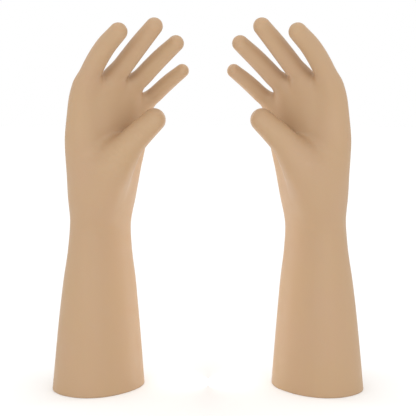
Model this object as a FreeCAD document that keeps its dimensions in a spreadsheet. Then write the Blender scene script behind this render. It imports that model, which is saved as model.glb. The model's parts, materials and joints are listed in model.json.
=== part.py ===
"""Pair of electrical insulating gloves: two mirrored gauntlet gloves of dipped rubber.

Each glove is one thin wall of rubber, divided at the lines where it bends so that every
bending stretch is its own soft ring between two firmer stretches.  The left glove is
drawn in its own frame (X towards the little finger, Y towards the back of the hand,
Z up the arm), then turned and set in its place; the right glove is its mirror image.
All lengths are millimetres and all angles are degrees.
"""
import math
import os

import FreeCAD
import Part
from FreeCAD import Placement, Rotation, Vector

# ---------------------------------------------------------------- general sizes
GENERAL = {
    "wall": 2.3,             # rubber wall of a class 2 glove
    "pair_spacing": 229.0,   # centre to centre of the two cuffs
    "depth_offset": 17.0,    # brings the pair to the middle of its own depth
    "turn": 50.0,            # how far the palms are turned in towards each other
    "wrist_at": 176.0,       # height of the wrist bend
    "wrist_ring": 24.0,      # length of rubber that bends at the wrist
}

# Forearm and palm, from the cuff up.  The girth of each ring of the glove is close to
# pi * (width + depth), so the cuff is about 300 mm round and the wrist about 200 mm.
RINGS = [
    # name, height, side shift, back shift, half width, half depth, twist
    ("cuff", 0.0, -3.0, 2.0, 52.5, 43.0, 0.0),
    ("low_forearm", 40.0, -2.4, 1.7, 49.2, 39.6, 0.0),
    ("mid_forearm", 80.0, -1.8, 1.4, 45.6, 35.9, -0.5),
    ("high_forearm", 118.0, -1.2, 0.8, 41.6, 31.8, -1.0),
    ("low_wrist", 150.0, -1.0, 0.0, 37.4, 27.8, -1.5),
    ("wrist", 176.0, -1.0, -1.2, 35.8, 26.4, -2.0),
    ("heel", 207.0, -0.5, -5.0, 38.8, 27.0, -6.0),
    ("thumb_root", 243.0, -2.0, -9.0, 43.8, 25.6, -12.0),
    ("palm", 274.0, -3.0, -14.0, 46.6, 21.6, -16.0),
    ("knuckles", 300.0, -3.4, -20.0, 44.0, 17.6, -19.0),
    ("webs", 322.0, -13.0, -24.0, 30.5, 14.0, -22.0),
]

# Fingers.  Each starts inside the palm, leaves it at its root, and curls in three
# nearly equal bones.  The radius is the fingertip-side size of the first bone.
FINGERS = {
    "index": dict(heel=(-28.0, -9.0, 262.0), root=(-34.5, -9.5, 309.0), lean=-5.0,
                  bend=21.0, curl=10.8, length=90.0, radius=10.9),
    "middle": dict(heel=(-9.0, -13.0, 265.0), root=(-11.0, -21.0, 318.0), lean=3.0,
                   bend=42.0, curl=2.0, length=91.0, radius=10.4),
    "ring": dict(heel=(9.0, -15.0, 262.0), root=(11.0, -28.5, 312.0), lean=8.0,
                 bend=43.0, curl=3.5, length=83.0, radius=9.8),
    "little": dict(heel=(26.0, -17.0, 252.0), root=(31.0, -31.0, 298.0), lean=15.0,
                   bend=42.0, curl=4.0, length=64.0, radius=8.4),
}
BONE_SHARES = (0.385, 0.325, 0.29)      # share of the finger length in each bone
RADIUS_SHARES = (1.14, 1.10, 1.0, 0.94, 0.84)  # heel, root, first, second, tip
ROOT_BEND_SHARE = 0.33                   # where the root ring sits along the finger
MID_BEND_SHARE = 0.70                    # where the middle ring sits
RING_SHARE = 1.30                        # length of a bending ring over its radius

# Thumb: a wide mound on the palm running out to a blunt tip that faces the fingers.
THUMB = {
    "points": [(-16.0, -16.0, 210.0), (-18.0, -36.0, 238.0),
               (-8.0, -54.0, 265.0), (9.0, -70.0, 288.0)],
    "radii": (20.0, 18.0, 14.6, 12.0),
    "root_at": 70.0,         # distance along the thumb to its root bend
    "tip_at": 88.0,          # distance along the thumb to its tip bend
    "rings": {"root": 8.0, "tip": 9.0},  # lengths of its two bending rings
}
REACH = 120.0                            # half size of the blocks used to divide

doc = FreeCAD.newDocument("insulating_gloves")
sheet = doc.addObject("Spreadsheet::Sheet", "Sizes")


class SizeSheet:
    """Writes one labelled number per row and gives back its alias."""

    def __init__(self, target):
        self.target = target
        self.row = 1

    def put(self, alias, value):
        cell = "B%d" % self.row
        self.target.set("A%d" % self.row, alias.replace("_", " "))
        self.target.set(cell, repr(round(float(value), 6)))
        self.target.setAlias(cell, alias)
        self.row += 1
        return alias


sizes = SizeSheet(sheet)
for key, number in GENERAL.items():
    sizes.put(key, number)
for name, height, side, back, half_width, half_depth, twist in RINGS:
    sizes.put(name + "_height", height)
    sizes.put(name + "_side_shift", side)
    sizes.put(name + "_back_shift", back)
    sizes.put(name + "_half_width", half_width)
    sizes.put(name + "_half_depth", half_depth)
    sizes.put(name + "_twist", twist)


def bind(obj, prop, expression):
    """Tie a property to the size sheet."""
    obj.setExpression(prop, expression)
    return obj


# ---------------------------------------------------------------- centre lines
def direction(lean, bend):
    """Unit direction leaning towards the little finger and bending to the palm."""
    side, curl = math.radians(lean), math.radians(bend)
    return Vector(math.sin(side) * math.cos(curl), -math.sin(curl),
                  math.cos(side) * math.cos(curl))


def finger_line(spec):
    """Centre points of a finger from its heel in the palm to its tip centre."""
    points = [Vector(*spec["heel"]), Vector(*spec["root"])]
    bend = spec["bend"]
    for share in BONE_SHARES:
        bend += spec["curl"]
        points.append(points[-1] + direction(spec["lean"], bend) * share * spec["length"])
    return points


def tangents(points):
    """Direction of travel at every point of a centre line."""
    last = len(points) - 1
    out = []
    for i in range(len(points)):
        step = points[min(i + 1, last)] - points[max(i - 1, 0)]
        out.append(step.normalize())
    return out


def point_along(points, distance):
    """Point and direction at a distance from the start of a centre line."""
    for start, end in zip(points, points[1:]):
        span = (end - start).Length
        if distance <= span or end is points[-1]:
            heading = (end - start).normalize()
            return start + heading * distance, heading
        distance -= span


def facing(heading, hinge):
    """Rotation with Z along the heading and X as near the hinge line as it can be."""
    return Rotation(hinge, Vector(), heading, "ZXY")


# ---------------------------------------------------------------- building steps
def halfway(index, key, less=""):
    """Expression for a size half way between two rings, on a smooth curve through four."""
    names = [ring[0] for ring in RINGS]
    near = "Sizes.%s_%s + Sizes.%s_%s" % (names[index], key, names[index + 1], key)
    if index == 0 or index + 2 == len(names):
        return "(%s) / 2%s" % (near, less)
    far = "Sizes.%s_%s + Sizes.%s_%s" % (names[index - 1], key, names[index + 2], key)
    return "(9 * (%s) - (%s)) / 16%s" % (near, far, less)


def oval(name, value):
    """An oval ring; value gives the expression for each of its sizes."""
    ring = doc.addObject("Part::Ellipse", name)
    ring.Placement = Placement(Vector(), Rotation(Vector(0, 0, 1), 1))
    bind(ring, "MajorRadius", value("half_width"))
    bind(ring, "MinorRadius", value("half_depth"))
    bind(ring, "Placement.Base.x", value("side_shift"))
    bind(ring, "Placement.Base.y", value("back_shift"))
    bind(ring, "Placement.Base.z", value("height"))
    bind(ring, "Placement.Rotation.Angle", value("twist"))
    return ring


def ring_loft(name, inner):
    """Forearm and palm as a loft through oval rings; inner leaves the wall out."""
    less = " - Sizes.wall" if inner else ""
    sections = []
    for index, ring in enumerate(RINGS):
        trimmed = ("half_width", "half_depth") + (("height",) if ring is RINGS[-1] else ())
        sections.append(oval("%s_%s" % (name, ring[0]), lambda key: "Sizes.%s_%s%s" % (
            ring[0], key, less if key in trimmed else "")))
        if ring is not RINGS[-1]:
            sections.append(oval("%s_past_%s" % (name, ring[0]), lambda key: halfway(
                index, key, less if key in ("half_width", "half_depth") else "")))
    loft = doc.addObject("Part::Loft", name)
    loft.Sections, loft.Solid, loft.Ruled = sections, True, False
    return loft


def tube_loft(name, points, radius_names, hinge, inner):
    """A curved tapering tube, open at the fingertip end, drawn through round rings."""
    less = " - Sizes.wall" if inner else ""
    heads = tangents(points)
    stations = [(p, h, "Sizes.%s" % r) for p, h, r in zip(points, heads, radius_names)]
    sections = []
    for number, (centre, heading, size) in enumerate(stations):
        hoop = doc.addObject("Part::Circle", "%s_hoop%d" % (name, number))
        bind(hoop, "Radius", size + less)
        hoop.Placement = Placement(centre, facing(heading, hinge))
        sections.append(hoop)
    loft = doc.addObject("Part::Loft", name)
    loft.Sections, loft.Solid, loft.Ruled = sections, True, False
    return loft


def dome(name, points, radius_name, hinge, inner):
    """The round end of a finger, as half a ball on the last hoop."""
    less = " - Sizes.wall" if inner else ""
    ball = doc.addObject("Part::Sphere", name)
    bind(ball, "Radius", "Sizes.%s%s" % (radius_name, less))
    ball.Angle1, ball.Angle2 = 0, 90
    ball.Placement = Placement(points[-1], facing(tangents(points)[-1], hinge))
    return ball


def combine(kind, name, base, tool):
    """Two-shape boolean: Cut or Common."""
    result = doc.addObject("Part::" + kind, name)
    result.Base, result.Tool = base, tool
    return result


def fuse(name, shapes):
    result = doc.addObject("Part::MultiFuse", name)
    result.Shapes = shapes
    return result


def block(name, centre, rotation, low, high):
    """Large block between two distances along its own Z, used to divide the rubber."""
    box = doc.addObject("Part::Box", name)
    box.Length = box.Width = 2 * REACH
    box.Height = high - low
    corner = rotation.multVec(Vector(-REACH, -REACH, low))
    box.Placement = Placement(centre + corner, rotation)
    return box


def between(name, shape, lower, upper):
    """The part of a shape above the lower block face and below the upper one."""
    first = combine("Common", name + "_above", shape, lower) if lower else shape
    return combine("Common", name, first, upper) if upper else first


PIECES = []


def keep(node, obj):
    """Set a finished left-hand piece in its place and mirror it for the right hand."""
    turn = Rotation(Vector(0, 0, 1), GENERAL["turn"])
    obj.Placement = Placement(Vector(-GENERAL["pair_spacing"] / 2, GENERAL["depth_offset"], 0),
                              turn)
    bind(obj, "Placement.Base.x", "-Sizes.pair_spacing / 2")
    bind(obj, "Placement.Base.y", "Sizes.depth_offset")
    obj.Label = "left_" + node
    twin = doc.addObject("Part::Mirroring", "right_" + node)
    twin.Source, twin.Normal, twin.Base = obj, Vector(1, 0, 0), Vector(0, 0, 0)
    twin.Label = "right_" + node
    PIECES.extend([obj, twin])


# ---------------------------------------------------------------- size rows for tubes
LINES, RADII, BENDS, HINGES = {}, {}, {}, {}
for name, spec in FINGERS.items():
    LINES[name] = finger_line(spec)
    RADII[name] = [sizes.put("%s_radius_%s" % (name, place), share * spec["radius"])
                   for place, share in zip(("heel", "root", "first", "second", "tip"),
                                           RADIUS_SHARES)]
    heel = (LINES[name][1] - LINES[name][0]).Length
    BENDS[name] = {"root": heel + ROOT_BEND_SHARE * spec["length"],
                   "mid": heel + MID_BEND_SHARE * spec["length"]}
    lean = math.radians(spec["lean"])
    HINGES[name] = Vector(math.cos(lean), 0, -math.sin(lean))
LINES["thumb"] = [Vector(*p) for p in THUMB["points"]]
RADII["thumb"] = [sizes.put("thumb_radius_%s" % place, radius)
                  for place, radius in zip(("heel", "root", "first", "tip"),
                                           THUMB["radii"])]
BENDS["thumb"] = {"root": THUMB["root_at"], "tip": THUMB["tip_at"]}
HINGES["thumb"] = (tangents(LINES["thumb"])[2].cross(Vector(0.45, 0.85, 0.25))).normalize()
doc.recompute()

# ---------------------------------------------------------------- whole tubes
arm_outer = ring_loft("arm_outer", inner=False)
arm_inner = ring_loft("arm_inner", inner=True)
arm_wall = combine("Cut", "arm_wall", arm_outer, arm_inner)
outer, inner = {}, {}
for name, line in LINES.items():
    outer[name] = tube_loft(name + "_outer", line, RADII[name], HINGES[name], inner=False)
    inner[name] = tube_loft(name + "_inner", line, RADII[name], HINGES[name], inner=True)

# ---------------------------------------------------------------- forearm and wrist
half_ring = GENERAL["wrist_ring"] / 2
level, wrist = Rotation(), Vector(0, 0, GENERAL["wrist_at"])
below_wrist = block("below_wrist", wrist, level, -2 * REACH, -half_ring)
wrist_slab = block("wrist_slab", wrist, level, -half_ring, half_ring)
above_wrist = block("above_wrist", wrist, level, half_ring, 2 * REACH)
keep("gauntlet", combine("Common", "gauntlet", arm_wall, below_wrist))
keep("wrist_flex", combine("Common", "wrist_flex", arm_wall, wrist_slab))

# ---------------------------------------------------------------- fingers and thumb
stubs = []
for name, line in LINES.items():
    wall = combine("Cut", name + "_wall", outer[name], inner[name])
    places = list(BENDS[name])
    blocks = {}
    for place in places:
        centre, heading = point_along(line, BENDS[name][place])
        turn = facing(heading, HINGES[name])
        half = (RING_SHARE * FINGERS[name]["radius"] if name in FINGERS
                else THUMB["rings"][place]) / 2
        tag = "%s_%s" % (name, place)
        blocks[place] = (block(tag + "_below", centre, turn, -REACH, -half),
                         block(tag + "_slab", centre, turn, -half, half),
                         block(tag + "_above", centre, turn, half, REACH))
    near, far = blocks[places[0]], blocks[places[1]]
    stubs.append(combine("Common", name + "_stub", outer[name], near[0]))
    keep("%s_%s_flex" % (name, places[0]),
         combine("Common", name + "_near_ring", wall, near[1]))
    keep(name + "_base", between(name + "_first", wall, near[2], far[0]))
    keep("%s_%s_flex" % (name, places[1]),
         combine("Common", name + "_far_ring", wall, far[1]))
    last = combine("Common", name + "_last", wall, far[2])
    ball_outer = dome(name + "_dome_outer", line, RADII[name][-1], HINGES[name], inner=False)
    ball_inner = dome(name + "_dome_inner", line, RADII[name][-1], HINGES[name], inner=True)
    cap = combine("Cut", name + "_cap", ball_outer, ball_inner)
    keep(name + "_tip", fuse(name + "_end", [last, cap]))

hand_outer = fuse("hand_outer", [arm_outer] + stubs)
hand_inner = fuse("hand_inner", [arm_inner] + list(inner.values()))
hand_trim = combine("Common", "hand_trim", hand_outer, above_wrist)
keep("hand", combine("Cut", "hand_shell", hand_trim, hand_inner))

doc.recompute()

# ---------------------------------------------------------------- checks and files
problems = []
for obj in doc.Objects:
    if "Invalid" in obj.State or "Error" in obj.State:
        problems.append("%s is %s" % (obj.Label, obj.State))
for piece in PIECES:
    if piece.Shape.isNull() or not piece.Shape.isValid():
        problems.append("%s has no valid shape" % piece.Label)
    elif len(piece.Shape.Solids) != 1:
        problems.append("%s has %d solids" % (piece.Label, len(piece.Shape.Solids)))
if problems:
    raise RuntimeError("; ".join(problems))

os.makedirs("parts", exist_ok=True)
for piece in PIECES:
    piece.Shape.exportStep("parts/%s.step" % piece.Label)
print("pieces:", len(PIECES))
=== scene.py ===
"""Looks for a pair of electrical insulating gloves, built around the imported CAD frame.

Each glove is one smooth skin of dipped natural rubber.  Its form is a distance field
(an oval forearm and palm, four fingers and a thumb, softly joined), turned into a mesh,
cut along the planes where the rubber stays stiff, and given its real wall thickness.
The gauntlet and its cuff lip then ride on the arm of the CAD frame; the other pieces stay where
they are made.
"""
import json
import logging
import math
from dataclasses import dataclass, field
from enum import Enum

import bmesh
import bpy
import numpy as np
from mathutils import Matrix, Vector, kdtree


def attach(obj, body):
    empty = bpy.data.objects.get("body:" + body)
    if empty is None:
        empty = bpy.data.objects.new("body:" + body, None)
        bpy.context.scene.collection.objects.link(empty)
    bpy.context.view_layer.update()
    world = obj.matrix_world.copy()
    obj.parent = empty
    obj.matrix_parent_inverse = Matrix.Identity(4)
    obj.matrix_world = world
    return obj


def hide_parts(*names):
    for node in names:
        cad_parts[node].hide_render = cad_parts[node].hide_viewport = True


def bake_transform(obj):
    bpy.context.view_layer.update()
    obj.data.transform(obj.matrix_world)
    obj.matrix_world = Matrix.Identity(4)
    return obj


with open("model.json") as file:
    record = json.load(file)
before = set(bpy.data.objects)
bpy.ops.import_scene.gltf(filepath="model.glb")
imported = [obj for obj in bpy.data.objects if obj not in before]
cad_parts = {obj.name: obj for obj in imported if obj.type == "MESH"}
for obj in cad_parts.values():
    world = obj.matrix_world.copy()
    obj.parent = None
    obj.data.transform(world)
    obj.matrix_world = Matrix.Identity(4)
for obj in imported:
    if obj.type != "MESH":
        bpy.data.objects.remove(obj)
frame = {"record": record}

logging.basicConfig(level=logging.INFO, format="%(levelname)s %(message)s")
log = logging.getLogger("gloves")

MM = 0.001
WALL = 2.3                        # rubber thickness in mm
QUICK_STEP, FULL_STEP = 2.1, 1.7  # mesh spacing in mm
JOINT_TOLERANCE = 1.0             # how far a bend may be from its joint, in mm
Array = np.ndarray


class Side(Enum):
    """Which hand a glove is for; the value is the sign of its X position."""

    LEFT = -1
    RIGHT = 1

    @property
    def prefix(self) -> str:
        """Start of every body and piece name on this side."""
        return self.name.lower() + "_"


class Light(Enum):
    """Studio lights by their place around the pair."""

    FRONT_LEFT = "front_left"
    FRONT_RIGHT = "front_right"
    OVERHEAD = "overhead"
    INNER_LEFT = "inner_left"
    INNER_RIGHT = "inner_right"


@dataclass(frozen=True)
class Lamp:
    """One soft area light.

    Attributes:
        place: where it stands, in metres.
        aim: the point it faces.
        power: watts.
        size: width and height in metres.
    """

    place: tuple[float, float, float]
    aim: tuple[float, float, float]
    power: float
    size: tuple[float, float]


# ---------------------------------------------------------------- finishes
def srgb(hex_colour: str) -> tuple[float, float, float, float]:
    """Turn an sRGB hex colour into linear RGBA.

    Args:
        hex_colour: six hex digits with a leading '#'.

    Returns:
        Red, green, blue and alpha in linear light.
    """
    out = []
    for i in (1, 3, 5):
        c = int(hex_colour[i:i + 2], 16) / 255
        out.append(c / 12.92 if c <= 0.04045 else ((c + 0.055) / 1.055) ** 2.4)
    return (*out, 1.0)


def add_node(material: bpy.types.Material, kind: str, values: dict[str, object],
             **settings: object) -> bpy.types.Node:
    """Add one shader node with its settings, values and links.

    Args:
        material: the material it belongs to.
        kind: Blender's node type.
        values: by socket name, a plain value or the output socket to link from.
        settings: properties of the node.

    Returns:
        The new node.
    """
    tree = material.node_tree
    node = tree.nodes.new(kind)
    for name, value in settings.items():
        setattr(node, name, value)
    for name, value in values.items():
        if isinstance(value, bpy.types.NodeSocket):
            tree.links.new(value, node.inputs[name])
        else:
            node.inputs[name].default_value = value
    return node


def new_material(name: str) -> bpy.types.Material:
    """Make a material that holds nothing yet.

    Args:
        name: material name.

    Returns:
        A node material without nodes.
    """
    material = bpy.data.materials.new(name)
    material.use_nodes = True
    material.node_tree.nodes.clear()
    return material


@dataclass(frozen=True)
class LatexFinish:
    """Dipped natural rubber, undyed.

    A former dipped in latex comes out without moulding marks. Its skin is smooth
    and satin, the cured rubber is milky so edges glow a little, and thicker runs of
    latex dry yellower than thin ones, which leaves large faint clouds.

    Attributes:
        name: material name.
        body: main colour.
        cloud: yellower colour of the thicker runs.
        cloud_mm: size of a cloud.
        bloom_mm: size of the patches where dusting powder dulls the skin.
        satin: roughness of clean rubber.
        dull: roughness under powder.
        grain_mm: size of the fine surface unevenness.
        grain_depth_mm: depth of that unevenness.
        grain_strength: how much of the unevenness the light shows.
        index: refractive index of natural rubber.
        sheen: strength of the surface reflection, low because of the powder.
        glow: share of light that scatters inside the rubber.
        scatter_mm: how far that light travels.
        scatter_rgb: share of that distance for red, green and blue light.
    """

    name: str = "natural_rubber_latex"
    body: str = "#B79678"
    cloud: str = "#B79873"
    cloud_mm: float = 45.0
    bloom_mm: float = 18.0
    satin: float = 0.42
    dull: float = 0.54
    grain_mm: float = 1.6
    grain_depth_mm: float = 0.03
    grain_strength: float = 0.35
    index: float = 1.52
    sheen: float = 0.38
    glow: float = 0.12
    scatter_mm: float = 3.0
    scatter_rgb: tuple[float, float, float] = (1.0, 0.55, 0.3)

    NOISE_LOW, NOISE_HIGH = 0.35, 0.65   # where nearly all noise values lie

    def noise(self, material: bpy.types.Material, place: bpy.types.NodeSocket,
              size_mm: float, detail: float) -> bpy.types.NodeSocket:
        """Random pattern of a real size, from 0 to 1."""
        values = {"Vector": place, "Scale": 1.0 / (size_mm * MM), "Detail": detail}
        return add_node(material, "ShaderNodeTexNoise", values).outputs["Fac"]

    def build(self) -> bpy.types.Material:
        """Make the material.

        Returns:
            A node material that uses object coordinates only.
        """
        material = new_material(self.name)
        place = add_node(material, "ShaderNodeTexCoord", {}).outputs["Object"]
        # thicker runs of latex dry yellower
        tint = add_node(material, "ShaderNodeMix", {
            "Factor": self.noise(material, place, self.cloud_mm, 2.0),
            "A": srgb(self.body), "B": srgb(self.cloud)}, data_type="RGBA")
        # powder from storage dulls the satin skin in patches
        powder = add_node(material, "ShaderNodeMapRange", {
            "Value": self.noise(material, place, self.bloom_mm, 3.0),
            "From Min": self.NOISE_LOW, "From Max": self.NOISE_HIGH,
            "To Min": self.satin, "To Max": self.dull})
        # cured latex keeps a fine, shallow unevenness
        bump = add_node(material, "ShaderNodeBump", {
            "Height": self.noise(material, place, self.grain_mm, 3.0),
            "Strength": self.grain_strength, "Distance": self.grain_depth_mm * MM})
        shader = add_node(material, "ShaderNodeBsdfPrincipled", {
            "Base Color": tint.outputs["Result"], "Roughness": powder.outputs["Result"],
            "Normal": bump.outputs["Normal"], "IOR": self.index,
            "Specular IOR Level": self.sheen, "Subsurface Weight": self.glow,
            "Subsurface Radius": self.scatter_rgb,
            "Subsurface Scale": self.scatter_mm * MM})
        add_node(material, "ShaderNodeOutputMaterial", {"Surface": shader.outputs["BSDF"]})
        return material


@dataclass(frozen=True)
class PlainFinish:
    """One even colour, for the floor.

    Attributes:
        name: material name.
        colour: its colour.
        roughness: surface roughness.
    """

    name: str
    colour: str
    roughness: float

    def build(self) -> bpy.types.Material:
        """Make the material.

        Returns:
            A matt material.
        """
        material = new_material(self.name)
        shader = add_node(material, "ShaderNodeBsdfPrincipled", {
            "Base Color": srgb(self.colour), "Roughness": self.roughness,
            "Specular IOR Level": 0.0})
        add_node(material, "ShaderNodeOutputMaterial", {"Surface": shader.outputs["BSDF"]})
        return material


# ---------------------------------------------------------------- form of a glove, in mm
def smooth_union(a: Array, b: Array, k: Array | float) -> Array:
    """Join two distance fields with a fillet.

    Args:
        a: first field.
        b: second field.
        k: reach of the fillet in mm.

    Returns:
        The joined field.
    """
    h = np.clip(0.5 + 0.5 * (b - a) / k, 0, 1)
    return b + (a - b) * h - k * h * (1 - h)


def spline(points: Array, radii: Array, steps: int = 8) -> tuple[Array, Array]:
    """Smooth curve through the points, with the radius carried along.

    Args:
        points: corner points of the centre line.
        radii: radius at each of them.
        steps: pieces per span.

    Returns:
        Finer points and radii.
    """
    data = np.c_[points, radii]
    data = np.vstack([2 * data[0] - data[1], data, 2 * data[-1] - data[-2]])
    out = []
    for a, b, c, d in zip(data, data[1:], data[2:], data[3:]):
        for t in np.arange(steps) / steps:
            out.append(0.5 * (2 * b + (c - a) * t + (2 * a - 5 * b + 4 * c - d) * t * t
                              + (3 * b - a - 3 * c + d) * t ** 3))
    out.append(data[-2])
    line = np.array(out)
    return line[:, :3], line[:, 3]


def tube_field(points: Array, line: Array, radii: Array) -> Array:
    """Distance to a tapering round tube.

    Args:
        points: where to measure, (n, 3).
        line: centre line of the tube.
        radii: its radius at each point of the line.

    Returns:
        Signed distance, negative inside.
    """
    best = np.full(len(points), 1e9)
    for a, b, ra, rb in zip(line, line[1:], radii, radii[1:]):
        span = b - a
        t = np.clip((points - a) @ span / (span @ span), 0, 1)
        gap = points - a - t[:, None] * span
        best = np.minimum(best, np.sqrt((gap * gap).sum(1)) - (ra + (rb - ra) * t))
    return best


@dataclass(frozen=True)
class Bend:
    """A stretch of a digit that bends, as distances along its centre line in mm.

    Attributes:
        place: name used by the frame, such as root.
        joint: where the frame's joint is.
        start: where the rubber starts to bend.
        end: where it has bent fully.
    """

    place: str
    joint: float
    start: float
    end: float


@dataclass
class Digit:
    """A finger or thumb as a tapering tube with places where it bends.

    Attributes:
        name: name used by the frame.
        line: corner points of the centre line.
        radii: radius at each corner point.
        near: the bend next to the palm.
        far: the bend towards the tip.
    """

    name: str
    line: Array
    radii: Array
    near: Bend
    far: Bend
    fine: tuple[Array, Array] = field(init=False)

    SEAM_GAP = 0.5   # mm between a seam and the bend above it

    def __post_init__(self) -> None:
        self.fine = spline(self.line, self.radii)

    def at(self, distance: float) -> tuple[Array, Array]:
        """Point and heading at a distance along the line.

        Args:
            distance: mm from the start of the line.

        Returns:
            The point and the unit heading there.
        """
        for start, end in zip(self.line, self.line[1:]):
            span = float(np.linalg.norm(end - start))
            if distance <= span or end is self.line[-1]:
                break
            distance -= span
        heading = (end - start) / span
        return start + heading * distance, heading

    @property
    def tip(self) -> Array:
        """Outermost point of the digit."""
        heading = self.line[-1] - self.line[-2]
        return self.line[-1] + heading / np.linalg.norm(heading) * self.radii[-1]

    @property
    def seams(self) -> tuple[float, float]:
        """Distances along the line where the skin is divided, clear of both bends."""
        return self.near.start - self.SEAM_GAP, (self.near.end + self.far.start) / 2


@dataclass
class FingerSpec:
    """Sizes of one finger, as they are in the CAD part.

    Attributes:
        name: name used by the frame.
        heel: start of the centre line, inside the palm.
        root: where the finger leaves the palm.
        lean: angle towards the little finger.
        bend: angle towards the palm before the first bone.
        curl: further angle at each bone.
        length: from the root to the centre of the round tip.
        radius: radius at the end of the first bone.
        free_from: distance along the line where it stands clear of its neighbours.
    """

    name: str
    heel: tuple[float, float, float]
    root: tuple[float, float, float]
    lean: float
    bend: float
    curl: float
    length: float
    radius: float
    free_from: float

    BONES = (0.385, 0.325, 0.29)           # share of the length in each bone
    TAPER = (1.14, 1.10, 1.0, 0.94, 0.84)  # share of the radius at each corner
    ROOT_JOINT, MID_JOINT = 0.33, 0.70     # share of the length to each joint
    BEND_LENGTH = 1.5                      # length of a bend over the radius

    def digit(self) -> Digit:
        """Work out the centre line and the bends.

        Returns:
            The finger as a digit.
        """
        line = [np.array(self.heel), np.array(self.root)]
        bend = self.bend
        for share in self.BONES:
            bend += self.curl
            side, curl = math.radians(self.lean), math.radians(bend)
            way = np.array([math.sin(side) * math.cos(curl), -math.sin(curl),
                            math.cos(side) * math.cos(curl)])
            line.append(line[-1] + way * share * self.length)
        heel = float(np.linalg.norm(line[1] - line[0]))
        long = self.BEND_LENGTH * self.radius
        mid = heel + self.MID_JOINT * self.length
        return Digit(self.name, np.array(line), self.radius * np.array(self.TAPER),
                     Bend("root", heel + self.ROOT_JOINT * self.length,
                          self.free_from, self.free_from + long),
                     Bend("mid", mid, mid - long / 2, mid + long / 2))


FINGERS = (
    FingerSpec("index", (-28, -9, 262), (-34.5, -9.5, 309), -5, 21, 10.8, 90, 10.9, 80.5),
    FingerSpec("middle", (-9, -13, 265), (-11, -21, 318), 3, 42, 2.0, 91, 10.4, 80.5),
    FingerSpec("ring", (9, -15, 262), (11, -28.5, 312), 8, 43, 3.5, 83, 9.8, 76.0),
    FingerSpec("little", (26, -17, 252), (31, -31, 298), 15, 42, 4.0, 64, 8.4, 68.0),
)
THUMB = Digit("thumb",
              np.array([(-16, -16, 210), (-18, -36, 238), (-8, -54, 265), (9, -70, 288)], float),
              np.array((20.0, 18.0, 14.6, 12.0)),
              Bend("root", 70.0, 74.5, 83.0), Bend("tip", 88.0, 84.5, 94.5))


@dataclass
class Arm:
    """Forearm and palm: oval rings stacked up the glove.

    Attributes:
        rings: height, side shift, back shift, half width, half depth, twist, squareness.
    """

    rings: Array = field(default_factory=lambda: np.array([
        (0, -3.0, 2.0, 52.5, 43.0, 0.0, 2.2),
        (40, -2.4, 1.7, 49.2, 39.6, 0.0, 2.2),
        (80, -1.8, 1.4, 45.6, 35.9, -0.5, 2.2),
        (118, -1.2, 0.8, 41.6, 31.8, -1.0, 2.2),
        (150, -1.0, 0.0, 37.4, 27.8, -1.5, 2.15),
        (176, -1.0, -1.2, 35.8, 26.4, -2.0, 2.1),
        (207, -0.5, -5.0, 38.8, 27.0, -6.0, 2.1),
        (243, -2.0, -9.0, 43.8, 25.6, -12.0, 2.2),
        (274, -3.0, -14.0, 46.6, 21.6, -16.0, 2.3),
        (300, -3.4, -20.0, 44.0, 17.6, -19.0, 2.3),
        (322, -13.0, -24.0, 30.5, 14.0, -22.0, 2.3)]))
    TOP_ROUND = 8.0   # mm of rounding above the last ring

    def sizes(self, height: Array) -> list[Array]:
        """Ring sizes at any height, on a smooth curve through the rings.

        Args:
            height: heights in mm.

        Returns:
            One array for each size.
        """
        z = self.rings[:, 0]
        i = np.clip(np.searchsorted(z, height, side="right") - 1, 0, len(z) - 2)
        span = z[i + 1] - z[i]
        s = (height - z[i]) / span
        out = []
        for column in self.rings[:, 1:].T:
            slope = np.gradient(column, z)
            out.append((2 * s ** 3 - 3 * s ** 2 + 1) * column[i]
                       + (s ** 3 - 2 * s ** 2 + s) * span * slope[i]
                       + (3 * s ** 2 - 2 * s ** 3) * column[i + 1]
                       + (s ** 3 - s ** 2) * span * slope[i + 1])
        return out

    def field(self, points: Array) -> Array:
        """Distance to the forearm and palm.

        Args:
            points: where to measure, (n, 3).

        Returns:
            Signed distance, negative inside.
        """
        top = self.rings[-1, 0]
        x, y, wide, deep, twist, power = self.sizes(np.clip(points[:, 2], 0, top))
        turn = np.radians(twist)
        dx, dy = points[:, 0] - x, points[:, 1] - y
        u = np.abs(dx * np.cos(turn) + dy * np.sin(turn)) + 1e-6
        v = np.abs(dy * np.cos(turn) - dx * np.sin(turn)) + 1e-6
        share = ((u / wide) ** power + (v / deep) ** power) ** (1 / power)
        nu, nv = (u / wide) ** (power - 1) / wide, (v / deep) ** (power - 1) / deep
        along = (nu * u + nv * v) / np.sqrt(nu * nu + nv * nv)
        side = (1 - 1 / share) * along
        over = np.maximum(points[:, 2] - top, 0)
        r = self.TOP_ROUND
        cap = np.maximum(np.sqrt(np.maximum(side + r, 0) ** 2 + over ** 2) - r, over - r)
        return np.where(over > 0, cap, side)


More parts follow.
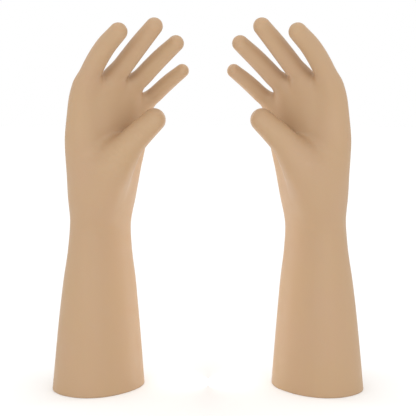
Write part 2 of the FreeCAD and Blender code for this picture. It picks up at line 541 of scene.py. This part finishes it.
class GloveForm:
    """Distance field of a whole left-hand glove, in its own frame and in mm."""

    LOW, HIGH = np.array([-76.0, -112.0, -6.0]), np.array([84.0, 62.0, 402.0])
    FINGER_FILLET, PALM_FILLET, WEB_FILLET = 3.0, 11.0, 8.0
    THUMB_FILLET, THUMB_FILLET_RISE = 12.0, 14.0   # the rise comes below THUMB_CLEAR
    THUMB_CLEAR, THUMB_FADE = 275.0, 30.0
    THUMB_WEB = (np.array([(-16, -18, 215), (-14, -30, 238), (-11, -34, 254)], float),
                 np.array((14.0, 14.0, 11.0)))

    def __init__(self) -> None:
        self.arm = Arm()
        self.digits = [spec.digit() for spec in FINGERS] + [THUMB]

    def field(self, points: Array) -> Array:
        """Distance to the outside of the glove.

        Args:
            points: where to measure, (n, 3).

        Returns:
            Signed distance, negative inside.
        """
        *fingers, thumb = self.digits
        hand = tube_field(points, *fingers[0].fine)
        for digit in fingers[1:]:
            hand = smooth_union(hand, tube_field(points, *digit.fine),
                                self.FINGER_FILLET)
        hand = smooth_union(self.arm.field(points), hand, self.PALM_FILLET)
        hand = smooth_union(hand, tube_field(points, *self.THUMB_WEB), self.WEB_FILLET)
        rise = np.clip((self.THUMB_CLEAR - points[:, 2]) / self.THUMB_FADE, 0, 1)
        fillet = self.THUMB_FILLET + self.THUMB_FILLET_RISE * rise
        return smooth_union(hand, tube_field(points, *thumb.fine), fillet)

    def gradient(self, points: Array, step: float = 0.05) -> Array:
        """Slope of the field, by central differences.

        Args:
            points: where to measure, (n, 3).
            step: half the distance between the two samples.

        Returns:
            The gradient at each point.
        """
        out = np.empty_like(points)
        for axis in range(3):
            shift = np.zeros(3)
            shift[axis] = step
            out[:, axis] = (self.field(points + shift) - self.field(points - shift)) / (2 * step)
        return out

    def settle(self, points: Array, rounds: int = 2) -> Array:
        """Move points onto the surface of the glove.

        Args:
            points: points near the surface.
            rounds: Newton steps.

        Returns:
            The moved points.
        """
        for _ in range(rounds):
            slope = self.gradient(points)
            size = np.maximum((slope * slope).sum(1), 0.05)
            move = np.clip(self.field(points) / size, -2, 2)
            points = points - move[:, None] * slope
        return points

    def normals(self, points: Array) -> Array:
        """Outward unit normals at points on the surface."""
        slope = self.gradient(points, 0.25)
        return slope / np.linalg.norm(slope, axis=1, keepdims=True)


class SkinMesher:
    """Turns the distance field into an even quad mesh."""

    COARSE = 4              # fine steps in one coarse step
    REACH = 1.7             # coarse steps from the surface that are sampled finely
    FAR = 99.0              # value given to everything further away
    SLIDE = 0.6             # share of the way a vertex slides in one round

    def __init__(self, form: GloveForm, step: float) -> None:
        self.form = form
        self.step = step

    def samples(self) -> Array:
        """Sample the field finely near the surface and by sign alone elsewhere.

        Returns:
            The field on a regular grid.
        """
        step, low = self.step, self.form.LOW
        blocks = np.ceil((self.form.HIGH - low) / (step * self.COARSE)).astype(int)
        coarse_axes = [low[i] + step * self.COARSE * np.arange(blocks[i] + 1) for i in range(3)]
        nodes = np.stack(np.meshgrid(*coarse_axes, indexing="ij"), -1).reshape(-1, 3)
        coarse = self.form.field(nodes).reshape(blocks + 1)
        nearest = [np.rint(np.arange(blocks[i] * self.COARSE + 1) / self.COARSE).astype(int)
                   for i in range(3)]
        spread = coarse[np.ix_(*nearest)]
        values = np.where(spread < 0, -self.FAR, self.FAR)
        band = np.abs(spread) < self.REACH * step * self.COARSE
        values[band] = self.form.field(low + step * np.argwhere(band))
        return values

    def mesh(self) -> tuple[Array, Array]:
        """Build the mesh by surface nets, then even it out on the surface.

        Returns:
            Vertices in mm and quads.
        """
        values = self.samples()
        cells = np.array(values.shape) - 1
        total = np.zeros((int(cells.prod()), 4))
        rings = []
        for axis in range(3):
            b, c = (axis + 1) % 3, (axis + 2) % 3
            low = np.take(values, np.arange(cells[axis]), axis)
            high = np.take(values, np.arange(1, cells[axis] + 1), axis)
            crossing = np.argwhere((low < 0) != (high < 0))
            inside = ((crossing[:, b] > 0) & (crossing[:, c] > 0)
                      & (crossing[:, b] < cells[b]) & (crossing[:, c] < cells[c]))
            crossing = crossing[inside]
            at = tuple(crossing.T)
            share = low[at] / (low[at] - high[at])
            point = crossing.astype(float)
            point[:, axis] += share
            loop = []
            for db, dc in ((-1, -1), (0, -1), (0, 0), (-1, 0)):
                cell = crossing.copy()
                cell[:, b] += db
                cell[:, c] += dc
                flat = np.ravel_multi_index(cell.T, cells)
                for column in range(3):
                    total[:, column] += np.bincount(flat, point[:, column], len(total))
                total[:, 3] += np.bincount(flat, minlength=len(total))
                loop.append(flat)
            quad = np.stack(loop, 1)
            rising = (low[at] < 0)[:, None]
            rings.append(np.where(rising, quad, quad[:, ::-1]))
        quads = np.vstack(rings)
        used, quads = np.unique(quads, return_inverse=True)
        quads = quads.reshape(-1, 4)
        points = self.form.LOW + self.step * total[used, :3] / total[used, 3:]
        return self.even_out(points, quads), quads

    def even_out(self, points: Array, quads: Array, rounds: int = 5) -> Array:
        """Slide vertices along the surface towards their neighbours' middle.

        Args:
            points: mesh vertices.
            quads: mesh faces.
            rounds: how many times.

        Returns:
            The moved vertices.
        """
        pairs = np.vstack([quads[:, (i, (i + 1) % 4)] for i in range(4)])
        pairs = np.unique(np.sort(pairs, 1), axis=0)
        a, b = pairs.T
        count = np.bincount(np.r_[a, b], minlength=len(points))[:, None]
        for _ in range(rounds):
            middle = np.stack([np.bincount(np.r_[a, b], np.r_[points[b, i], points[a, i]],
                                           len(points)) for i in range(3)], 1) / count
            points = self.form.settle((1 - self.SLIDE) * points + self.SLIDE * middle, 1)
        return self.form.settle(points, 2)


# ---------------------------------------------------------------- cutting into pieces
@dataclass
class SkinPiece:
    """One cut piece of the skin in the glove's own frame."""

    name: str
    points: Array
    faces: list[list[int]]
    normals: Array


class SkinCutter:
    """Cuts the whole skin into pieces along planes."""

    def __init__(self, form: GloveForm, points: Array, quads: Array) -> None:
        self.form = form
        self.bm = bmesh.new()
        verts = [self.bm.verts.new(p) for p in points]
        for quad in quads:
            self.bm.faces.new([verts[i] for i in quad])
        self.bm.faces.ensure_lookup_table()

    def trim_below(self, height: float) -> None:
        """Remove everything under a height, leaving a level edge."""
        geometry = self.bm.verts[:] + self.bm.edges[:] + self.bm.faces[:]
        bmesh.ops.bisect_plane(self.bm, geom=geometry, dist=1e-4, plane_co=(0, 0, height),
                               plane_no=(0, 0, 1), clear_inner=True)

    def cut(self, centre: Array, normal: Array) -> None:
        """Divide the skin along the loop where a plane crosses it nearest to a point.

        Args:
            centre: point on the plane, inside the stretch that is divided.
            normal: direction across the plane.
        """
        middle, across = Vector(centre), Vector(normal)
        side = {v: (v.co - middle).dot(across) > 0 for v in self.bm.verts}
        crossing = {f for f in self.bm.faces if len({side[v] for v in f.verts}) == 2}
        loop = {min(crossing, key=lambda f: (f.calc_center_median() - middle).length)}
        stack = list(loop)
        while stack:
            for edge in stack.pop().edges:
                for face in edge.link_faces:
                    if face in crossing and face not in loop:
                        loop.add(face)
                        stack.append(face)
        edges = {e for f in loop for e in f.edges}
        verts = {v for f in loop for v in f.verts}
        cut = bmesh.ops.bisect_plane(self.bm, geom=[*loop, *edges, *verts], dist=1e-4,
                                     plane_co=middle, plane_no=across)
        seam = [e for e in cut["geom_cut"] if isinstance(e, bmesh.types.BMEdge)]
        bmesh.ops.split_edges(self.bm, edges=seam)

    def pieces(self, seeds: dict[str, Array]) -> list[SkinPiece]:
        """Collect the separate pieces and name each by a point that lies on it.

        Args:
            seeds: piece name and a point close to that piece.

        Returns:
            The pieces, in the order of the seeds.
        """
        self.bm.verts.ensure_lookup_table()
        self.bm.verts.index_update()
        group = np.full(len(self.bm.verts), -1)
        found = 0
        for start in self.bm.verts:
            if group[start.index] >= 0:
                continue
            group[start.index] = found
            stack = [start]
            while stack:
                for edge in stack.pop().link_edges:
                    for vert in edge.verts:
                        if group[vert.index] < 0:
                            group[vert.index] = found
                            stack.append(vert)
            found += 1
        tree = kdtree.KDTree(len(self.bm.verts))
        for vert in self.bm.verts:
            tree.insert(vert.co, vert.index)
        tree.balance()
        points = np.array([v.co for v in self.bm.verts])
        normals = self.form.normals(points)
        out = []
        for name, seed in seeds.items():
            label = group[tree.find(Vector(seed))[1]]
            members = np.flatnonzero(group == label)
            renumber = {int(old): new for new, old in enumerate(members)}
            faces = [[renumber[v.index] for v in f.verts] for f in self.bm.faces
                     if group[f.verts[0].index] == label]
            out.append(SkinPiece(name, points[members], faces, normals[members]))
        if found != len(seeds):
            log.warning("skin fell into %d pieces, %d were expected", found, len(seeds))
        return out


# ---------------------------------------------------------------- geometry node groups
class NodeRecipe:
    """Base for a small geometry node group with named inputs."""

    def __init__(self, name: str) -> None:
        self.tree = bpy.data.node_groups.new(name, "GeometryNodeTree")
        self.sockets: dict[str, str] = {}
        self.socket("Geometry", "NodeSocketGeometry")
        self.socket("Geometry", "NodeSocketGeometry", "OUTPUT")
        self.start = self.node("NodeGroupInput")
        self.end = self.node("NodeGroupOutput")

    def socket(self, name: str, kind: str, way: str = "INPUT") -> None:
        """Add a socket to the group.

        Args:
            name: socket name.
            kind: Blender's socket type.
            way: INPUT or OUTPUT.
        """
        made = self.tree.interface.new_socket(name=name, in_out=way, socket_type=kind)
        if way == "INPUT":
            self.sockets[name] = made.identifier

    def node(self, kind: str, **settings: object) -> bpy.types.Node:
        """Add a node and set its plain settings.

        Args:
            kind: Blender's node type.
            settings: properties of the node.

        Returns:
            The new node.
        """
        made = self.tree.nodes.new(kind)
        for key, value in settings.items():
            setattr(made, key, value)
        return made

    def link(self, output: bpy.types.NodeSocket, target: bpy.types.NodeSocket) -> None:
        """Join two sockets."""
        self.tree.links.new(output, target)

    def close(self, output: bpy.types.NodeSocket) -> None:
        """End the group: realize instances, shade smooth and set the material.

        Args:
            output: the finished geometry.
        """
        real = self.node("GeometryNodeRealizeInstances")
        smooth = self.node("GeometryNodeSetShadeSmooth")
        paint = self.node("GeometryNodeSetMaterial")
        self.link(output, real.inputs["Geometry"])
        self.link(real.outputs["Geometry"], smooth.inputs["Geometry"])
        self.link(smooth.outputs["Geometry"], paint.inputs["Geometry"])
        self.link(self.start.outputs["Material"], paint.inputs["Material"])
        self.link(paint.outputs["Geometry"], self.end.inputs["Geometry"])

    def apply(self, obj: bpy.types.Object, **values: object) -> None:
        """Run the group on an object and keep the result as its mesh.

        Args:
            obj: object to change.
            values: group inputs by name.
        """
        modifier = obj.modifiers.new("shape", "NODES")
        modifier.node_group = self.tree
        for name, value in values.items():
            modifier[self.sockets[name]] = value
        bpy.context.view_layer.update()
        depsgraph = bpy.context.evaluated_depsgraph_get()
        mesh = bpy.data.meshes.new_from_object(obj.evaluated_get(depsgraph),
                                               preserve_all_data_layers=True,
                                               depsgraph=depsgraph)
        obj.modifiers.remove(modifier)
        obj.data = mesh


class RubberWall(NodeRecipe):
    """Gives an outer skin its inner face and closed edges, one wall thickness inside."""

    MERGE = 1e-6   # metres within which two vertices are one

    def __init__(self) -> None:
        super().__init__("Rubber wall")
        self.socket("Wall", "NodeSocketFloat")
        self.socket("Material", "NodeSocketMaterial")
        facing = self.node("GeometryNodeInputNamedAttribute", data_type="FLOAT_VECTOR")
        facing.inputs["Name"].default_value = "facing"
        inward = self.node("ShaderNodeVectorMath", operation="SCALE")
        inward.inputs["Scale"].default_value = -1.0
        depth = self.node("ShaderNodeVectorMath", operation="SCALE")
        extrude = self.node("GeometryNodeExtrudeMesh", mode="FACES")
        extrude.inputs["Individual"].default_value = False
        extrude.inputs["Offset Scale"].default_value = 1.0
        keep = self.node("GeometryNodeStoreNamedAttribute", data_type="FLOAT_VECTOR",
                         domain="POINT")
        keep.inputs["Name"].default_value = "facing"
        flip = self.node("GeometryNodeFlipFaces")
        join = self.node("GeometryNodeJoinGeometry")
        merge = self.node("GeometryNodeMergeByDistance")
        merge.inputs["Distance"].default_value = self.MERGE
        self.link(facing.outputs["Attribute"], inward.inputs[0])
        self.link(inward.outputs[0], depth.inputs[0])
        self.link(self.start.outputs["Wall"], depth.inputs["Scale"])
        self.link(self.start.outputs["Geometry"], extrude.inputs["Mesh"])
        self.link(depth.outputs[0], extrude.inputs["Offset"])
        self.link(extrude.outputs["Mesh"], keep.inputs["Geometry"])
        self.link(extrude.outputs["Top"], keep.inputs["Selection"])
        self.link(inward.outputs[0], keep.inputs["Value"])
        self.link(keep.outputs["Geometry"], flip.inputs["Mesh"])
        self.link(flip.outputs["Mesh"], join.inputs["Geometry"])
        self.link(self.start.outputs["Geometry"], join.inputs["Geometry"])
        self.link(join.outputs["Geometry"], merge.inputs["Geometry"])
        self.close(merge.outputs["Geometry"])


class CuffLip(NodeRecipe):
    """Rounds off the cuff: a half-wall bead swept round the edge."""

    SIDES = 16   # sides of the bead

    def __init__(self) -> None:
        super().__init__("Cuff lip")
        self.socket("Wall", "NodeSocketFloat")
        self.socket("Material", "NodeSocketMaterial")
        half = self.node("ShaderNodeMath", operation="MULTIPLY")
        half.inputs[1].default_value = 0.5
        rail = self.node("GeometryNodeMeshToCurve")
        ring = self.node("GeometryNodeCurvePrimitiveCircle")
        ring.inputs["Resolution"].default_value = self.SIDES
        sweep = self.node("GeometryNodeCurveToMesh")
        self.link(self.start.outputs["Wall"], half.inputs[0])
        self.link(half.outputs[0], ring.inputs["Radius"])
        self.link(self.start.outputs["Geometry"], rail.inputs["Mesh"])
        self.link(rail.outputs["Curve"], sweep.inputs["Curve"])
        self.link(ring.outputs["Curve"], sweep.inputs["Profile Curve"])
        self.close(sweep.outputs["Mesh"])


# ---------------------------------------------------------------- a glove in the frame
@dataclass
class Placement:
    """Where the left glove's own frame sits; the right glove is its mirror image.

    Attributes:
        spacing: mm between the middles of the two cuffs.
        depth: mm that both stand back.
        turn: degrees the palms are turned in.
    """

    spacing: float = 229.0
    depth: float = 17.0
    turn: float = 50.0

    def vectors(self, points: Array, side: Side) -> Array:
        """Turn directions into the frame of the pair.

        Args:
            points: directions in the glove's own frame, (n, 3).
            side: which hand.

        Returns:
            The turned directions, mirrored for the right hand.
        """
        c, s = math.cos(math.radians(self.turn)), math.sin(math.radians(self.turn))
        out = np.c_[points[:, 0] * c - points[:, 1] * s,
                    points[:, 0] * s + points[:, 1] * c, points[:, 2]]
        return out * ((-1, 1, 1) if side is Side.RIGHT else (1, 1, 1))

    def points(self, points: Array, side: Side) -> Array:
        """Turn points in mm into the frame of the pair, in metres."""
        shift = np.array([side.value * self.spacing / 2, self.depth, 0])
        return (self.vectors(points, side) + shift) * MM


@dataclass
class Glove:
    """The finished skin of one glove; its gauntlet and cuff lip are attached to the frame.

    Attributes:
        side: which hand.
        form: the shared distance field.
        pieces: cut skin pieces in the glove's own frame.
        material: the rubber.
        wall: rubber thickness in mm.
        placement: where the glove stands.
    """

    side: Side
    form: GloveForm
    pieces: list[SkinPiece]
    material: bpy.types.Material
    wall: float
    placement: Placement

    WRIST, WRIST_BEND = 176.0, 62.0              # height and length of the wrist bend
    WRIST_MIDDLE = np.array([-1.0, -1.2, WRIST])

    def build(self, wall_group: RubberWall, lip_group: CuffLip) -> None:
        """Make every piece, tie the gauntlet and cuff lip to the arm and hide the CAD parts the
        skin stands for.

        Args:
            wall_group: gives a piece its inner face.
            lip_group: rounds the cuff.
        """
        by_name = {piece.name: piece for piece in self.pieces}
        made = {name: self.skin(piece, wall_group) for name, piece in by_name.items()}
        lip = self.lip(by_name["gauntlet"], lip_group)
        p = self.side.prefix
        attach(made["gauntlet"], p + "arm")
        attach(lip, p + "arm")
        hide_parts(p + "gauntlet")
        middle, half = self.WRIST_MIDDLE, np.array([0, 0, self.WRIST_BEND / 2])
        self.bend(made["hand"], "arm", "palm", middle - half, middle + half)
        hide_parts(p + "hand", p + "wrist_flex")
        for digit in self.form.digits:
            d, near, far = digit.name, digit.near, digit.far
            lower, upper = made[d + "_lower"], made[d + "_upper"]
            self.bend(lower, "palm", d + "_near", digit.at(near.start)[0], digit.at(near.end)[0])
            self.bend(upper, d + "_near", d + "_far", digit.at(far.start)[0],
                      digit.at(far.end)[0])
            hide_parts("%s%s_%s_flex" % (p, d, near.place), p + d + "_base")
            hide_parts("%s%s_%s_flex" % (p, d, far.place), p + d + "_tip")

    def bend(self, obj: bpy.types.Object, a: str, b: str, start: Array, end: Array) -> None:
        """Place the ends of a bend in the frame of the pair and bake the piece's placement into
        its mesh; the piece is not made to bend.

        Args:
            obj: the piece.
            a: body below the bend, without its side; not used.
            b: body above the bend, without its side; not used.
            start: where the bend starts, in the glove's own frame.
            end: where it ends.
        """
        low, high = self.placement.points(np.array([start, end]), self.side)
        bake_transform(obj)

    def skin(self, piece: SkinPiece, wall_group: RubberWall) -> bpy.types.Object:
        """Make one piece of skin with both faces and smooth joins to its neighbours.

        Args:
            piece: outer skin in the glove's own frame.
            wall_group: gives it its inner face.

        Returns:
            The finished object.
        """
        points = self.placement.points(piece.points, self.side)
        normals = self.placement.vectors(piece.normals, self.side)
        mirrored = self.side is Side.RIGHT
        faces = [f[::-1] for f in piece.faces] if mirrored else piece.faces
        name = self.side.prefix + piece.name + "_skin"
        mesh = bpy.data.meshes.new(name)
        mesh.from_pydata(points.tolist(), [], faces)
        facing = mesh.attributes.new("facing", "FLOAT_VECTOR", "POINT")
        facing.data.foreach_set("vector", normals.astype(np.float32).ravel())
        obj = bpy.data.objects.new(name, mesh)
        bpy.context.scene.collection.objects.link(obj)
        wall_group.apply(obj, Wall=self.wall * MM, Material=self.material)
        mesh = obj.data
        stored = np.zeros(len(mesh.vertices) * 3, np.float32)
        mesh.attributes["facing"].data.foreach_get("vector", stored)
        mesh.normals_split_custom_set_from_vertices(stored.reshape(-1, 3).tolist())
        mesh.attributes.remove(mesh.attributes["facing"])
        return obj

    def lip(self, piece: SkinPiece, lip_group: CuffLip) -> bpy.types.Object:
        """Make the rounded edge of the cuff.

        Args:
            piece: the gauntlet's skin, whose lowest points are its edge.
            lip_group: sweeps the bead.

        Returns:
            The finished object.
        """
        low = piece.points[:, 2] < piece.points[:, 2].min() + 1e-3
        edge, out = piece.points[low], piece.normals[low]
        centre = edge.mean(0)
        order = np.argsort(np.arctan2(edge[:, 1] - centre[1], edge[:, 0] - centre[0]))
        loop = edge[order] - out[order] * self.wall / 2
        loop[:, 2] = edge[0, 2]
        points = self.placement.points(loop, self.side)
        name = self.side.prefix + "cuff_lip"
        mesh = bpy.data.meshes.new(name)
        count = len(points)
        mesh.from_pydata(points.tolist(), [(i, (i + 1) % count) for i in range(count)], [])
        obj = bpy.data.objects.new(name, mesh)
        bpy.context.scene.collection.objects.link(obj)
        lip_group.apply(obj, Wall=self.wall * MM, Material=self.material)
        return obj


SEAM_BELOW_WRIST = 1.0                 # mm from the wrist bend down to the seam
ON_GAUNTLET = np.array([0, -38.0, 60.0])
ON_HAND = np.array([-5.0, 14.0, 255.0])


def cut_skin(form: GloveForm, wall: float, step: float) -> list[SkinPiece]:
    """Mesh the left glove and cut it where no rubber bends.

    Args:
        form: the distance field.
        wall: rubber thickness in mm.
        step: mesh spacing in mm.

    Returns:
        Named pieces of skin.
    """
    points, quads = SkinMesher(form, step).mesh()
    log.info("skin: %d quads", len(quads))
    cutter = SkinCutter(form, points, quads)
    cutter.trim_below(wall / 2)
    level = Glove.WRIST - Glove.WRIST_BEND / 2 - SEAM_BELOW_WRIST
    cutter.cut(np.array([0, 0, level]), np.array([0, 0, 1.0]))
    seeds = {"gauntlet": ON_GAUNTLET, "hand": ON_HAND}
    for digit in form.digits:
        for seam in digit.seams:
            cutter.cut(*digit.at(seam))
        seeds[digit.name + "_lower"] = digit.at(sum(digit.seams) / 2)[0]
        seeds[digit.name + "_upper"] = digit.tip
    return cutter.pieces(seeds)


# ---------------------------------------------------------------- studio
@dataclass
class Studio:
    """Pale floor, soft lights and the camera.

    Attributes:
        camera: camera place in metres.
        target: what the camera looks at.
        view_angle: horizontal view angle in degrees.
        sky: brightness of the even white surround.
        sun: strength of the soft light from straight above.
        lights: the area lights.
    """

    FLOOR_SIZE = 14.0   # metres
    FLOOR = PlainFinish("studio_floor", "#FAFAF9", 0.9)
    SUN_SPREAD = 50.0   # degrees

    camera: tuple[float, float, float] = (0.0, -1.153, 0.325)
    target: tuple[float, float, float] = (0.0, -0.003, 0.1955)
    view_angle: float = 21.3
    sky: float = 1.0
    sun: float = 0.40
    lights: dict[Light, Lamp] = field(default_factory=lambda: {
        Light.FRONT_LEFT: Lamp((-0.55, -1.5, 0.55), (0.115, 0, 0.2), 2.0, (0.8, 0.8)),
        Light.FRONT_RIGHT: Lamp((0.55, -1.5, 0.55), (-0.115, 0, 0.2), 2.0, (0.8, 0.8)),
        Light.INNER_LEFT: Lamp((-0.001, 0.03, 0.2), (-1.0, 0.03, 0.2), 0.09, (0.03, 0.46)),
        Light.INNER_RIGHT: Lamp((0.001, 0.03, 0.2), (1.0, 0.03, 0.2), 0.09, (0.03, 0.46))})

    def build(self) -> None:
        """Put up the floor, lights, sky and camera."""
        bpy.ops.mesh.primitive_plane_add(size=self.FLOOR_SIZE, location=(0, 0, 0))
        floor = bpy.context.object
        floor.name = "floor"
        floor.data.materials.append(self.FLOOR.build())
        for light, lamp in self.lights.items():
            self.light(light, lamp)
        overhead = bpy.data.lights.new(Light.OVERHEAD.value, "SUN")
        overhead.energy, overhead.angle = self.sun, math.radians(self.SUN_SPREAD)
        self.place(Light.OVERHEAD.value, overhead)
        world = bpy.data.worlds.new("studio")
        world.use_nodes = True
        sky = world.node_tree.nodes["Background"]
        sky.inputs["Color"].default_value = srgb("#FFFFFF")
        sky.inputs["Strength"].default_value = self.sky
        bpy.context.scene.world = world
        lens = bpy.data.cameras.new("camera")
        lens.angle = math.radians(self.view_angle)
        bpy.context.scene.camera = self.place("camera", lens, self.camera, self.target)
        bpy.context.scene.view_settings.view_transform = "Standard"

    def place(self, name: str, data: bpy.types.ID,
              at: tuple[float, float, float] | None = None,
              aim: tuple[float, float, float] | None = None) -> bpy.types.Object:
        """Put a light or the camera in the scene.

        Args:
            name: object name.
            data: the light or camera.
            at: where it stands, if that matters.
            aim: the point it faces, if it isn't straight down.

        Returns:
            The new object.
        """
        obj = bpy.data.objects.new(name, data)
        if at is not None and aim is not None:
            obj.location = at
            way = Vector(aim) - Vector(at)
            obj.rotation_euler = way.to_track_quat("-Z", "Y").to_euler()
        bpy.context.scene.collection.objects.link(obj)
        return obj

    def light(self, light: Light, lamp: Lamp) -> None:
        """Add one soft light, which the camera doesn't see.

        Args:
            light: which light it is.
            lamp: its place, aim, power and size.
        """
        data = bpy.data.lights.new(light.value, "AREA")
        data.energy, data.shape = lamp.power, "RECTANGLE"
        data.size, data.size_y = lamp.size
        self.place(light.value, data, lamp.place, lamp.aim).visible_camera = False


def check_bends(form: GloveForm, placement: Placement, record: dict) -> None:
    """Log any bend that isn't where the frame's joint is.

    Args:
        form: the glove's form, with its bends.
        placement: where the glove stands.
        record: the part's record, which lists its joints.
    """
    joints = {j["name"]: j for j in record["behaviour"]["joints"]}
    for side in Side:
        for digit in form.digits:
            for bend in (digit.near, digit.far):
                name = "%s%s_%s_bend" % (side.prefix, digit.name, bend.place)
                here = placement.points(digit.at(bend.joint)[0][None], side)[0]
                gap = float(np.linalg.norm(here - np.array(joints[name]["pos_m"])))
                if gap > JOINT_TOLERANCE * MM:
                    log.warning("%s is %.1f mm from its joint", name, gap / MM)


def main() -> None:
    """Build both gloves and the studio."""
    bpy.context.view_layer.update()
    form, placement = GloveForm(), Placement()
    check_bends(form, placement, frame["record"])
    rubber = LatexFinish().build()
    pieces = cut_skin(form, WALL, FULL_STEP)
    wall_group, lip_group = RubberWall(), CuffLip()
    for side in Side:
        Glove(side, form, pieces, rubber, WALL, placement).build(wall_group, lip_group)
    Studio().build()


if __name__ == "__main__":
    main()
